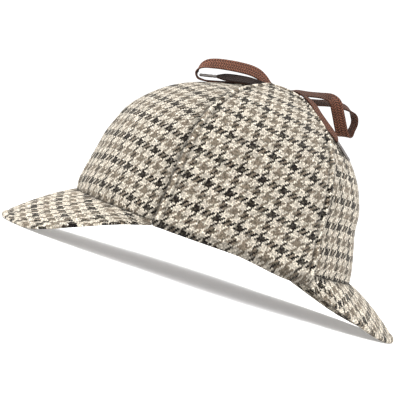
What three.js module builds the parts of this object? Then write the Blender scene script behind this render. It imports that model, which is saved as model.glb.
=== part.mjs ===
// Tweed deerstalker hat with folded-up ear flaps tied over the crown by a
// flat braided lace.
//
// Units are millimetres, +Z is up.  The hat stands on the rims of its two
// peaks at z = 0, the front peak points to -X, the wearer's left is -Y, and
// x = y = 0 is the middle of the head opening.
//
// "t" is the angle round the crown measured from the centre front towards the
// wearer's left, "h" is the height above the crown's base seam.

import * as THREE from 'three';

// ---------------------------------------------------------------- dimensions
const SEAM_Z = 33.6;            // base seam above the rims of the peaks
const CROWN_A = 107;            // half length of the crown at its base
const CROWN_B = 86;             // half width of the crown at its base
const WALL = 2.4;               // crown cloth, turned and lined
const SEAM_GAP = 0.34;          // gap between neighbouring pieces
const SEAM_DIP = 0.7;           // how far the crown sinks in at each seam

const PEAK_T = 54.8;            // half angle of a peak along the base seam
const PEAK_LENGTH = 155;        // from the middle of the hat to a peak's tip
const PEAK_THICK = 3.4;

const FLAP_T0 = 56.4;           // front edge of a flap at the base seam
const FLAP_T1 = 121.6;          // rear edge of a flap at the base seam
const FLAP_THICK = 3.0;         // two layers of cloth sewn together
const FLAP_STAND = 0.3;         // least gap between a flap and the crown

const LACE_W = 9.5;             // flat braid
const LACE_T = 1.3;
const AGLET_R = 1.15;
const KNOT = { x: 11.5, y: 0, h: 118.2, rx: 7.6, ry: 4.8, rz: 3.1 };

// Crown profile: share of the base radius against height over the seam
const PROFILE_FRONT = [
  [1.012, 0], [1.02, 8], [1.006, 18], [0.989, 28], [0.968, 40], [0.948, 50],
  [0.905, 62], [0.868, 71], [0.80, 80.5], [0.70, 90.5], [0.60, 98],
  [0.50, 103.4], [0.40, 107.4], [0.30, 110.4], [0.20, 112.8], [0.10, 114.4],
  [0.0, 115.0],
];
const PROFILE_REAR = [
  [1.008, 0], [0.996, 8], [0.976, 18], [0.950, 28], [0.926, 38], [0.913, 51],
  [0.878, 62], [0.835, 71.5], [0.775, 81], [0.69, 90.6], [0.60, 98],
  [0.50, 103.4], [0.40, 107.4], [0.30, 110.4], [0.20, 112.8], [0.10, 114.4],
  [0.0, 115.0],
];

// ------------------------------------------------------------------- helpers
const rad = (d) => (d * Math.PI) / 180;
const lerp = (a, b, k) => a + (b - a) * k;
const clamp01 = (k) => Math.min(1, Math.max(0, k));
const smooth = (k) => { const c = clamp01(k); return c * c * (3 - 2 * c); };

// smooth curve through a list of rows at position k, counted in rows
function sample(rows, k) {
  const n = rows.length - 1;
  const c = Math.min(Math.max(k, 0), n);
  const i = Math.min(Math.floor(c), n - 1);
  const f = c - i;
  const p0 = rows[Math.max(i - 1, 0)];
  const p1 = rows[i];
  const p2 = rows[i + 1];
  const p3 = rows[Math.min(i + 2, n)];
  return p1.map((_, j) => {
    const m1 = (p2[j] - p0[j]) / 2;
    const m2 = (p3[j] - p1[j]) / 2;
    const f2 = f * f;
    const f3 = f2 * f;
    return (2 * f3 - 3 * f2 + 1) * p1[j] + (f3 - 2 * f2 + f) * m1
      + (-2 * f3 + 3 * f2) * p2[j] + (f3 - f2) * m2;
  });
}

// value of a piecewise-linear table [x, y...] at x, eased between its rows
function table(rows, x, col = 1) {
  if (x <= rows[0][0]) return rows[0][col];
  for (let i = 1; i < rows.length; i += 1) {
    if (x <= rows[i][0]) {
      const k = (x - rows[i - 1][0]) / (rows[i][0] - rows[i - 1][0]);
      return lerp(rows[i - 1][col], rows[i][col], k);
    }
  }
  return rows[rows.length - 1][col];
}

// point of the crown's outer surface at angle t (degrees) and profile row k
function crownPoint(t, k, dip = 0) {
  const a = rad(t);
  const w = (1 + Math.cos(a)) / 2;
  const f = sample(PROFILE_FRONT, k);
  const r = sample(PROFILE_REAR, k);
  const ratio = Math.max(lerp(r[0], f[0], w), 0);
  const h = lerp(r[1], f[1], w);
  const rise = (0.9 + 1.6 * Math.cos(a)) * (1 - smooth(h / 40));
  const fall = dip * smooth(ratio / 0.25);
  const x = -Math.cos(a) * (CROWN_A * ratio - fall);
  const y = -Math.sin(a) * (CROWN_B * ratio - fall);
  return new THREE.Vector3(x, y, SEAM_Z + h + rise - (fall ? fall * 0.4 * (1 - ratio) : 0));
}

function crownNormal(t, k) {
  const e = 0.02;
  const kk = Math.min(k, 15.6);
  const du = crownPoint(t, kk + e).sub(crownPoint(t, kk - e));
  const dt = crownPoint(t + 0.5, kk).sub(crownPoint(t - 0.5, kk));
  return new THREE.Vector3().crossVectors(dt, du).normalize();
}

// closed solid between two point grids of the same size
function shell(outer, inner) {
  const nu = outer.length;
  const nv = outer[0].length;
  const pos = [];
  for (const grid of [outer, inner]) {
    for (const row of grid) for (const p of row) pos.push(p.x, p.y, p.z);
  }
  const o = (i, j) => i * nv + j;
  const n = (i, j) => nu * nv + i * nv + j;
  const idx = [];
  const quad = (a, b, c, d) => idx.push(a, b, c, a, c, d);
  for (let i = 0; i < nu - 1; i += 1) {
    for (let j = 0; j < nv - 1; j += 1) {
      quad(o(i, j), o(i, j + 1), o(i + 1, j + 1), o(i + 1, j));
      quad(n(i, j), n(i + 1, j), n(i + 1, j + 1), n(i, j + 1));
    }
  }
  for (let i = 0; i < nu - 1; i += 1) {
    quad(o(i, 0), o(i + 1, 0), n(i + 1, 0), n(i, 0));
    quad(o(i, nv - 1), n(i, nv - 1), n(i + 1, nv - 1), o(i + 1, nv - 1));
  }
  for (let j = 0; j < nv - 1; j += 1) {
    quad(o(0, j), n(0, j), n(0, j + 1), o(0, j + 1));
    quad(o(nu - 1, j), o(nu - 1, j + 1), n(nu - 1, j + 1), n(nu - 1, j));
  }
  return orient(pos, idx);
}

// geometry from positions and triangles, turned so that its faces point out
function orient(pos, idx) {
  let vol = 0;
  const v = (i) => new THREE.Vector3(pos[3 * i], pos[3 * i + 1], pos[3 * i + 2]);
  for (let i = 0; i < idx.length; i += 3) {
    const a = v(idx[i]);
    const b = v(idx[i + 1]);
    const c = v(idx[i + 2]);
    vol += a.dot(b.cross(c)) / 6;
  }
  if (vol < 0) {
    for (let i = 0; i < idx.length; i += 3) {
      const s = idx[i + 1];
      idx[i + 1] = idx[i + 2];
      idx[i + 2] = s;
    }
  }
  const g = new THREE.BufferGeometry();
  g.setAttribute('position', new THREE.Float32BufferAttribute(pos, 3));
  g.setIndex(idx);
  g.computeVertexNormals();
  return g;
}

// ------------------------------------------------------------------- crown
const PANEL_ROWS = [0, 1, 2, 3.5, 5, 6.5, 8, 9, 10, 11, 12, 13, 14, 15, 15.72];
const PANEL_COLS = 8;

function crownPanel(t0, t1) {
  const outer = [];
  const inner = [];
  for (const k of PANEL_ROWS) {
    const ro = [];
    const ri = [];
    for (let j = 0; j <= PANEL_COLS; j += 1) {
      const v = j / PANEL_COLS;
      const mid = crownPoint((t0 + t1) / 2, k);
      const radius = Math.hypot(mid.x, mid.y);
      const edge = (SEAM_GAP / 2 / radius) * (180 / Math.PI);
      const t = lerp(t0 + edge, t1 - edge, v);
      const near = Math.min(v, 1 - v) * 2;
      const dip = SEAM_DIP * (1 - Math.pow(Math.min(1, near * 2.2), 0.6));
      const p = crownPoint(t, k, dip);
      ro.push(p);
      const n = crownNormal(t, k);
      if (k === 0) n.setZ(0).normalize();
      ri.push(p.clone().addScaledVector(n, -WALL));
    }
    outer.push(ro);
    inner.push(ri);
  }
  return shell(outer, inner);
}

// -------------------------------------------------------------------- peaks
// rims of the peaks: angle along the rim, height of the rim's middle over z = 0
const RIM_FRONT = [
  [0, 1.6], [10, 1.1], [20, 0.67], [28, 0.67], [36, 2.0], [45, 6.3],
  [52, 10.7], [60, 15.9], [68, 21.4], [75, 25.9], [82, 29.6], [88, 31.7],
];
const RIM_REAR = [
  [0, 2.1], [10, 1.4], [20, 0.70], [30, 0.70], [36, 1.3], [45, 3.1],
  [52, 5.4], [60, 8.9], [68, 12.9], [75, 16.8], [82, 21.4], [88, 26.0],
];

function peakPoint(t, w, side) {
  const base = crownPoint(side > 0 ? t : 180 - t, 0);
  const nrm = new THREE.Vector3(base.x / CROWN_A ** 2, base.y / CROWN_B ** 2, 0).normalize();
  const inside = base.clone().addScaledVector(nrm, -WALL);
  inside.z = base.z - 0.34 - PEAK_THICK / 2;
  const start = base.clone().addScaledVector(nrm, 0.5);
  start.z = inside.z - 0.1;
  const phi = t * (88 / PEAK_T);
  const c = Math.abs(Math.cos(rad(phi)));
  const rim = new THREE.Vector3(
    -side * (56 + (PEAK_LENGTH - 56) * Math.pow(c, 0.96)),
    -Math.sign(Math.sin(rad(phi)) || 1) * Math.abs(73.6 * Math.sin(rad(phi))),
    table(side > 0 ? RIM_FRONT : RIM_REAR, Math.abs(phi)),
  );
  // the corners of the rim run out along the base seam
  const corner = base.clone().addScaledVector(nrm, 1.2);
  const end = smooth((Math.abs(phi) - 74) / 14);
  rim.x = lerp(rim.x, corner.x, end);
  rim.y = lerp(rim.y, corner.y, end);
  if (w < 0) return inside.lerp(start, w + 1);
  const p = start.clone().lerp(rim, w);
  // the blade arches: steep at the seam, flatter in the middle
  p.z += 2.6 * Math.sin(Math.PI * Math.pow(w, 0.9)) * c;
  return p;
}

function peak(side) {
  const cols = 26;
  const ws = [-1, 0, 0.12, 0.3, 0.5, 0.7, 0.88, 1];
  const top = [];
  const under = [];
  for (const w of ws) {
    const a = [];
    const b = [];
    for (let j = 0; j <= cols; j += 1) {
      const t = lerp(-PEAK_T, PEAK_T, j / cols);
      const p = peakPoint(t, w, side);
      const e = 0.02;
      const dt = peakPoint(Math.min(t + 0.4, PEAK_T), w, side)
        .sub(peakPoint(Math.max(t - 0.4, -PEAK_T), w, side));
      const w0 = w < 0 ? -1 : Math.max(w - e, 0);
      const w1 = w < 0 ? -0.5 : Math.min(w + e, 1);
      const dw = peakPoint(t, w1, side).sub(peakPoint(t, w0, side));
      const n = new THREE.Vector3().crossVectors(dt, dw).normalize();
      if (n.z < 0) n.negate();
      if (w <= 0) n.set(0, 0, 1);
      const half = PEAK_THICK / 2 * (w > 0.95 ? 0.55 : 1);
      a.push(p.clone().addScaledVector(n, half));
      b.push(p.clone().addScaledVector(n, -half));
    }
    top.push(a);
    under.push(b);
  }
  return shell(top, under);
}

// ---------------------------------------------------------------- ear flaps
// profile row, front edge angle, rear edge angle, stand-off at the front edge,
// in the middle and at the rear edge
const FLAP = [
  [0.0, FLAP_T0, FLAP_T1, 0.7, 0.8, 0.9],
  [2.8, 56.4, 122.6, 0.7, 0.8, 1.0],
  [5.0, 56.0, 124.4, 0.7, 0.8, 1.2],
  [6.5, 55.6, 126.2, 0.7, 0.8, 1.3],
  [8.0, 55.0, 128.6, 0.7, 0.8, 1.4],
  [9.0, 55.0, 131.0, 0.7, 0.8, 1.3],
  [10.0, 55.0, 134.4, 0.7, 0.8, 1.1],
  [11.0, 55.0, 139.0, 0.7, 0.9, 1.0],
  [12.0, 55.5, 146.0, 0.8, 1.3, 1.9],
  [13.0, 57.5, 151.0, 1.0, 2.4, 3.9],
  [14.0, 62.0, 150.0, 1.8, 3.7, 4.7],
  [14.6, 70.0, 142.0, 2.6, 4.0, 4.5],
  [15.25, 84.0, 116.0, 2.9, 3.2, 3.2],
];
const FLAP_ROWS = [0, 1, 2, 3.5, 5, 6.5, 8, 9, 10, 11, 12, 13, 14, 15, 15.25];
const FLAP_COLS = 10;

function flapSheet(side, lift, v, k) {
  const t = lerp(table(FLAP, k, 1), table(FLAP, k, 2), v);
  const off = v < 0.5
    ? lerp(table(FLAP, k, 3), table(FLAP, k, 4), smooth(v * 2))
    : lerp(table(FLAP, k, 4), table(FLAP, k, 5), smooth(v * 2 - 1));
  const p = crownPoint(t, k);
  const n = crownNormal(t, k);
  p.addScaledVector(n, off + lift);
  if (side < 0) p.y = -p.y;
  return p;
}

function flapBase(side, v, out, drop) {
  const t = lerp(FLAP_T0, FLAP_T1, v);
  const p = crownPoint(t, 0);
  const n = new THREE.Vector3(p.x / CROWN_A ** 2, p.y / CROWN_B ** 2, 0).normalize();
  p.addScaledVector(n, out);
  p.z -= drop;
  if (side < 0) p.y = -p.y;
  return p;
}

function earFlap(side) {
  const outer = [];
  const inner = [];
  const fold = [
    // outward and downward of the crown's base, outer face then inner face
    [[-1.9, 2.5], [-1.9, 0.45]],
    [[0.2, 3.6], [0.1, 0.6]],
    [[2.4, 3.4], [0.8, 0.6]],
    [[3.9, 1.6], [1.1, 0.2]],
  ];
  for (const [o, n] of fold) {
    const ro = [];
    const rn = [];
    for (let j = 0; j <= FLAP_COLS; j += 1) {
      const v = j / FLAP_COLS;
      const sag = 1 + 1.45 * smooth((v - 0.45) / 0.42) * (1 - 0.3 * smooth((v - 0.88) / 0.12));
      ro.push(flapBase(side, v, o[0], o[1] * (o[1] > 1 ? sag : 1)));
      rn.push(flapBase(side, v, n[0], n[1] * (n[1] > 1 ? sag : 1)));
    }
    outer.push(ro);
    inner.push(rn);
  }
  for (const k of FLAP_ROWS.slice(1)) {
    const ro = [];
    const rn = [];
    for (let j = 0; j <= FLAP_COLS; j += 1) {
      const v = j / FLAP_COLS;
      ro.push(flapSheet(side, FLAP_STAND + FLAP_THICK, v, k));
      rn.push(flapSheet(side, FLAP_STAND, v, k));
    }
    outer.push(ro);
    inner.push(rn);
  }
  return shell(outer, inner);
}

// --------------------------------------------------------------------- lace
// Each row is x, y, h of the middle of the braid, then the direction of its
// width, then the share of its full width.
const FRONT_LOOP = [
  [3.6, 1.2, 120.2, 0, 0.62, 0.78, 0.7],
  [-1.0, 0.4, 122.6, 0, 0.56, 0.83, 0.95],
  [-7.0, -0.4, 125.0, 0, 0.52, 0.85, 1],
  [-14.0, -0.8, 125.9, 0, 0.52, 0.85, 1],
  [-22.0, -0.8, 125.4, 0, 0.52, 0.85, 1],
  [-31.0, -0.8, 124.2, 0, 0.54, 0.84, 1],
  [-40.0, -0.6, 122.4, 0, 0.60, 0.80, 1],
  [-46.6, -0.4, 119.9, 0.1, 0.70, 0.70, 1],
  [-50.6, -0.2, 116.0, 0.25, 0.86, 0.42, 1],
  [-51.8, 0.2, 111.6, 0.33, 0.94, 0.0, 1],
  [-49.4, 0.8, 108.4, 0.15, 0.98, -0.05, 1],
  [-44.0, 1.0, 108.0, 0, 1, 0, 1],
  [-37.0, 1.0, 109.6, 0, 1, 0, 1],
  [-28.0, 1.2, 112.0, 0, 1, 0, 1],
  [-17.0, 1.4, 114.9, 0, 1, 0, 1],
  [-6.0, 1.6, 116.6, 0, 1, 0, 0.9],
  [3.4, 1.6, 117.1, 0, 1, 0, 0.6],
];
const FRONT_TAIL = [
  [3.6, -3.4, 118.2, 0, 0.30, 0.95, 0.55],
  [-2.6, -5.0, 118.4, 0, 0.30, 0.95, 0.58],
  [-7.5, -6.2, 118.3, 0, 0.50, 0.86, 0.64],
  [-15.0, -5.8, 118.0, 0, 0.80, 0.60, 0.95],
  [-24.0, -4.4, 116.5, 0, 0.80, 0.60, 1],
  [-31.0, -3.2, 115.0, 0, 0.80, 0.60, 0.9],
  [-37.2, -2.3, 113.5, 0, 0.80, 0.60, 0.26],
];
const FRONT_AGLET = [[-37.6, -2.25, 113.4], [-49.6, -1.2, 110.6]];
const REAR_LOOP = [
  [19.6, 0.6, 119.2, 0, 0.93, 0.37, 0.8],
  [25.8, 0.8, 121.8, 0, 0.93, 0.37, 0.95],
  [34.0, 0.2, 123.2, 0, 0.93, 0.37, 1],
  [43.0, -1.2, 125.2, 0.05, 0.90, 0.44, 1],
  [49.6, -3.4, 125.9, 0.35, 0.60, 0.70, 1],
  [53.8, -6.0, 123.6, 0.82, 0.10, 0.56, 1],
  [56.4, -7.4, 119.2, 0.90, -0.16, 0.40, 1],
  [59.4, -7.8, 114.0, 0.90, -0.19, 0.39, 1],
  [62.5, -7.6, 108.8, 0.90, -0.19, 0.39, 1],
  [65.6, -6.4, 104.4, 0.90, -0.20, 0.38, 1],
  [69.0, -3.4, 102.2, 0.80, -0.55, 0.22, 1],
  [72.4, 0.0, 103.6, 0.56, -0.80, -0.1, 1],
  [74.4, 1.8, 108.2, 0.35, -0.93, 0, 1],
  [75.0, 2.2, 113.6, 0.35, -0.93, 0, 1],
  [73.0, 2.2, 118.4, 0.30, -0.93, 0.15, 1],
  [67.6, 2.0, 122.0, 0.12, -0.92, -0.3, 1],
  [60.0, 1.6, 123.0, 0, -0.88, -0.47, 1],
  [51.0, 1.2, 121.6, 0, -0.88, -0.47, 1],
  [42.0, 1.0, 119.2, 0, -0.88, -0.47, 1],
  [33.0, 0.8, 117.2, 0, -0.90, -0.43, 1],
  [26.0, 0.6, 116.4, 0, -0.94, -0.33, 1],
  [19.8, 0.4, 116.3, 0, -0.98, -0.2, 0.9],
];
const REAR_TAIL = [
  [17.2, -3.6, 120.2, 0.30, 0.95, 0.10, 0.3],
  [22.6, -5.8, 121.6, 0.30, 0.95, 0.10, 0.42],
  [27.8, -7.6, 120.9, 0.32, 0.94, 0.10, 0.55],
  [32.8, -9.2, 118.9, 0.35, 0.93, 0.08, 0.8],
  [38.0, -10.8, 115.8, 0.38, 0.92, 0.06, 1],
  [43.2, -13.0, 111.2, 0.43, 0.90, 0.03, 1],
  [48.4, -16.2, 106.8, 0.50, 0.86, 0.0, 1],
  [52.6, -20.6, 103.0, 0.57, 0.82, -0.04, 1],
  [55.7, -26.0, 99.6, 0.62, 0.78, -0.08, 0.9],
  [57.6, -31.2, 95.9, 0.64, 0.76, -0.10, 0.28],
];
const REAR_AGLET = [[58.1, -32.1, 95.3], [70.4, -32.6, 85.4]];
const LEFT_LEAD = [
  [8.4, -11.6, 115.8, 1, 0, 0, 0.7],
  [8.8, -8.2, 116.4, 1, 0, 0, 0.7],
  [9.2, -5.0, 117.4, 1, 0, 0, 0.7],
];

function ribbon(rows, steps) {
  const pts = [];
  for (let i = 0; i <= steps; i += 1) {
    const r = sample(rows, (i / steps) * (rows.length - 1));
    pts.push(r);
  }
  const outer = [];
  const inner = [];
  for (let i = 0; i <= steps; i += 1) {
    const c = new THREE.Vector3(pts[i][0], pts[i][1], pts[i][2] + SEAM_Z);
    const a = pts[Math.max(i - 1, 0)];
    const b = pts[Math.min(i + 1, steps)];
    const tan = new THREE.Vector3(b[0] - a[0], b[1] - a[1], b[2] - a[2]).normalize();
    const w = new THREE.Vector3(pts[i][3], pts[i][4], pts[i][5]);
    w.addScaledVector(tan, -w.dot(tan)).normalize();
    const n = new THREE.Vector3().crossVectors(tan, w).normalize();
    const half = (LACE_W / 2) * pts[i][6];
    const ro = [];
    const rn = [];
    for (const s of [-1, 0, 1]) {
      const th = (LACE_T / 2) * (s === 0 ? 1 : 0.6);
      ro.push(c.clone().addScaledVector(w, s * half).addScaledVector(n, th));
      rn.push(c.clone().addScaledVector(w, s * half).addScaledVector(n, -th));
    }
    outer.push(ro);
    inner.push(rn);
  }
  return shell(outer, inner);
}

function mirrored(rows) {
  return rows.map(([x, y, h, a, b, c, w]) => [x, -y, h, a, -b, c, w]);
}

function aglet([p, q]) {
  const a = new THREE.Vector3(p[0], p[1], p[2] + SEAM_Z);
  const b = new THREE.Vector3(q[0], q[1], q[2] + SEAM_Z);
  const len = a.distanceTo(b);
  const g = new THREE.CylinderGeometry(AGLET_R, AGLET_R, len, 10, 1);
  const m = new THREE.Matrix4().makeRotationFromQuaternion(
    new THREE.Quaternion().setFromUnitVectors(
      new THREE.Vector3(0, 1, 0), b.clone().sub(a).normalize(),
    ),
  );
  m.setPosition(a.clone().add(b).multiplyScalar(0.5));
  g.applyMatrix4(m);
  return g;
}

function knot() {
  const g = new THREE.SphereGeometry(1, 16, 10);
  g.scale(KNOT.rx, KNOT.ry, KNOT.rz);
  g.translate(KNOT.x, KNOT.y, KNOT.h + SEAM_Z);
  return g;
}

// ----------------------------------------------------------------- assembly
const tweed = { color: 0xa79c8a, roughness: 0.95, metalness: 0 };
const braid = { color: 0x7d3f24, roughness: 0.8, metalness: 0 };
const metal = { color: 0x9a9a96, roughness: 0.35, metalness: 0.9 };

const hat = new THREE.Group();

function add(name, geometry, look) {
  const mesh = new THREE.Mesh(geometry, new THREE.MeshStandardMaterial(look));
  mesh.name = name;
  hat.add(mesh);
}

add('crown_front_left', crownPanel(0, 60), tweed);
add('crown_side_left', crownPanel(60, 120), tweed);
add('crown_rear_left', crownPanel(120, 180), tweed);
add('crown_rear_right', crownPanel(180, 240), tweed);
add('crown_side_right', crownPanel(240, 300), tweed);
add('crown_front_right', crownPanel(300, 360), tweed);
add('front_peak', peak(1), tweed);
add('rear_peak', peak(-1), tweed);
add('ear_flap_left', earFlap(1), tweed);
add('ear_flap_right', earFlap(-1), tweed);
add('lace_knot', knot(), braid);
add('lace_lead_left', ribbon(LEFT_LEAD, 3), braid);
add('lace_lead_right', ribbon(mirrored(LEFT_LEAD), 3), braid);
add('lace_loop_front', ribbon(FRONT_LOOP, 36), braid);
add('lace_tail_front', ribbon(FRONT_TAIL, 14), braid);
add('aglet_front', aglet(FRONT_AGLET), metal);
add('lace_loop_rear', ribbon(REAR_LOOP, 46), braid);
add('lace_tail_rear', ribbon(REAR_TAIL, 18), braid);
add('aglet_rear', aglet(REAR_AGLET), metal);

export default hat;
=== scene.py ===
import math

import bpy
import numpy as np
from mathutils import Matrix, Vector


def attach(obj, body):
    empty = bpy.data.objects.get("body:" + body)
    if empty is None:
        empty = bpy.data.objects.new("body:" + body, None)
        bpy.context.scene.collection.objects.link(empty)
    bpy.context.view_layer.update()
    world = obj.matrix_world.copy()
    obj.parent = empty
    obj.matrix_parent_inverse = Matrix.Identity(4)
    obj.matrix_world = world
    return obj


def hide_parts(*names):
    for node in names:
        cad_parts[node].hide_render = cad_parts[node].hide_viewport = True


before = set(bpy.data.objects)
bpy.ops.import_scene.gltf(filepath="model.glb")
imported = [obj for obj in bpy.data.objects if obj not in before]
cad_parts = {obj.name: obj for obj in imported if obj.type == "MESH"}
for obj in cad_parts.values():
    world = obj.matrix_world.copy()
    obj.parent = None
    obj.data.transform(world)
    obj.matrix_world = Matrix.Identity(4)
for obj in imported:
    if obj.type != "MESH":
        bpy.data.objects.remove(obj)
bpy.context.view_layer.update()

# Lengths in this script are millimetres until a mesh is made.
MM = 0.001
SEAM_Z = 33.6
CROWN_A, CROWN_B, WALL = 107.0, 86.0, 2.4
PEAK_T, PEAK_LENGTH, PEAK_THICK = 55.6, 155.0, 3.4
FLAP_T0, FLAP_T1 = 55.9, 123.7
FLAP_THICK, FLAP_STAND = 3.0, 0.3
LACE_W, LACE_T, AGLET_R = 9.5, 1.25, 1.15
WARP, WEFT = 16.8, 19.2  # one repeat of the check, across and along

# ---------------------------------------------------------------- camera
TURN, LIFT = math.radians(12), math.radians(2)
side = np.array([math.cos(TURN), -math.sin(TURN), 0.0])
back = np.array(
    [-math.sin(TURN) * math.cos(LIFT), -math.cos(TURN) * math.cos(LIFT), math.sin(LIFT)]
)
rise = np.cross(back, side)
target = np.array([-18.5 * math.cos(TURN), 18.5 * math.sin(TURN), SEAM_Z + 23])
cam_x = 0.948 * side + 0.319 * rise
cam_y = np.cross(back, cam_x)
cam_x, cam_y = cam_x / np.linalg.norm(cam_x), cam_y / np.linalg.norm(cam_y)
spot = (target + back * 1500) * MM
cam_data = bpy.data.cameras.new("camera")
cam = bpy.data.objects.new("camera", cam_data)
bpy.context.scene.collection.objects.link(cam)
m = Matrix.Identity(4)
for i in range(3):
    m[i][0], m[i][1], m[i][2], m[i][3] = cam_x[i], cam_y[i], back[i], spot[i]
cam.matrix_world = m
cam_data.sensor_width = 36
cam_data.lens = 36 * 1500 / (400 * 0.7424)
cam_data.clip_start, cam_data.clip_end = 0.05, 60
bpy.context.scene.camera = cam


# ---------------------------------------------------------------- helpers
def smooth(x):
    x = np.clip(x, 0, 1)
    return x * x * (3 - 2 * x)


def sample(rows, k):
    """Smooth curve through evenly numbered rows, at positions k."""
    rows, k = np.asarray(rows, float), np.asarray(k, float)
    n = len(rows) - 1
    k = np.clip(k, 0, n)
    i = np.minimum(np.floor(k).astype(int), n - 1)
    f = (k - i)[..., None]
    p0, p1, p2, p3 = rows[np.maximum(i - 1, 0)], rows[i], rows[i + 1], rows[np.minimum(i + 2, n)]
    m1, m2 = (p2 - p0) / 2, (p3 - p1) / 2
    return (
        (2 * f**3 - 3 * f**2 + 1) * p1 + (f**3 - 2 * f**2 + f) * m1
        + (-2 * f**3 + 3 * f**2) * p2 + (f**3 - f**2) * m2
    )


def table(rows, x, col=1):
    rows = np.asarray(rows, float)
    return np.interp(x, rows[:, 0], rows[:, col])


def unit(v):
    return v / np.maximum(np.linalg.norm(v, axis=-1, keepdims=True), 1e-12)


def wave_noise(x, y, seed, size):
    """Soft, repeatable bumps from a few crossed waves; about -1 to 1."""
    rng = np.random.default_rng(seed)
    out = np.zeros(np.broadcast(x, y).shape)
    for _ in range(9):
        a, s, p = rng.uniform(0, 2 * math.pi), rng.uniform(0.55, 1.6), rng.uniform(0, 2 * math.pi)
        out += np.sin((x * math.cos(a) + y * math.sin(a)) * 2 * math.pi / (size * s) + p)
    return out / 4.5


def cloth_object(name, points, faces, uv, materials, mat_index=None, painted_light_and_shade=None):
    mesh = bpy.data.meshes.new(name)
    mesh.from_pydata((np.asarray(points) * MM).tolist(), [], [list(map(int, f)) for f in faces])
    layer = mesh.uv_layers.new(name="cloth")
    loops = np.zeros(len(mesh.loops), np.int32)
    mesh.loops.foreach_get("vertex_index", loops)
    layer.data.foreach_set("uv", np.asarray(uv, np.float32)[loops].ravel())
    for mat in materials:
        mesh.materials.append(mat)
    if mat_index is not None:
        mesh.polygons.foreach_set("material_index", np.asarray(mat_index, np.int32))
    mesh.polygons.foreach_set("use_smooth", [True] * len(mesh.polygons))
    # the per-point attribute holds painted light and shade, which the materials multiply into the colour
    if painted_light_and_shade is not None:
        mesh.attributes.new("painted_light_and_shade", "FLOAT", "POINT").data.foreach_set("value", np.asarray(painted_light_and_shade, np.float32))
    mesh.validate()
    mesh.update()
    obj = bpy.data.objects.new(name, mesh)
    bpy.context.scene.collection.objects.link(obj)
    return obj


def slab(name, outer, inner, uv_outer, uv_inner, materials, painted_light_and_shade=None):
    """Closed form between two grids that share their border."""
    nu, nv = outer.shape[:2]
    pts, uvs = [outer.reshape(-1, 3)], [uv_outer.reshape(-1, 2)]
    border = np.zeros((nu, nv), bool)
    border[[0, -1], :] = True
    border[:, [0, -1]] = True
    idx_o = np.arange(nu * nv).reshape(nu, nv)
    idx_i = idx_o.copy()
    free = ~border
    idx_i[free] = nu * nv + np.arange(free.sum())
    pts.append(inner[free])
    uvs.append(uv_inner[free])
    pts, uvs = np.concatenate(pts), np.concatenate(uvs)

    def quads(idx, flip):
        a, b, c, d = idx[:-1, :-1], idx[:-1, 1:], idx[1:, 1:], idx[1:, :-1]
        q = np.stack([a, b, c, d], -1).reshape(-1, 4)
        return q[:, ::-1] if flip else q

    fo, fi = quads(idx_o, False), quads(idx_i, True)
    faces = np.concatenate([fo, fi])
    mi = np.concatenate([np.zeros(len(fo), int), np.ones(len(fi), int) * (len(materials) > 1)])
    a, b, c, d = (pts[faces[:, j]] for j in range(4))
    vol = (np.einsum("ij,ij->i", a, np.cross(b, c)) + np.einsum("ij,ij->i", a, np.cross(c, d))).sum()
    if vol < 0:
        faces = faces[:, ::-1]
    if painted_light_and_shade is not None:
        painted_light_and_shade = np.concatenate([painted_light_and_shade.reshape(-1), np.zeros(len(pts) - nu * nv)])
    return cloth_object(name, pts, faces, uvs, materials, mi, painted_light_and_shade)


def eased(n, tight=0.5):
    """0 to 1 in n steps, closer together at both ends."""
    x = np.linspace(0, 1, n)
    return (1 - tight) * x + tight * (1 - np.cos(math.pi * x)) / 2


def laid(u, v, centre, ease, far=2.0):
    du, dv, a1, b1, b2, su, sv, b3, a2, b4 = ease
    x = np.clip((u - centre[0]) / 30, -far, far)
    y = np.clip((v - centre[1]) / 30, -far, far)
    return (
        u * (1 + 0.01 * su) + du + a1 * y + a2 * x**2 - 3 * WARP / 8,
        v * (1 + 0.01 * sv) + dv + b1 * x + b2 * x**2 + b3 * y**2 + b4 * x * y - 3 * WEFT / 8,
    )


def grid_area(g):
    """Area of a grid of points, in square metres."""
    across, along = g[1:, 1:] - g[:-1, :-1], g[1:, :-1] - g[:-1, 1:]
    return float(np.linalg.norm(np.cross(across, along), axis=-1).sum() / 2 * MM * MM)


def cut_size(mid):
    """Width and length of the cloth before it was made up, and its area."""
    wide = float(climbed(mid, 1)[:, -1].max() * MM)
    long = float(climbed(mid, 0)[-1].max() * MM)
    return (wide, long), grid_area(mid)


def edge_fade(d, r):
    q = np.clip(d / r, 0, 1)
    return np.sqrt(np.clip(1 - (1 - q) ** 2, 0, 1))


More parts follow.
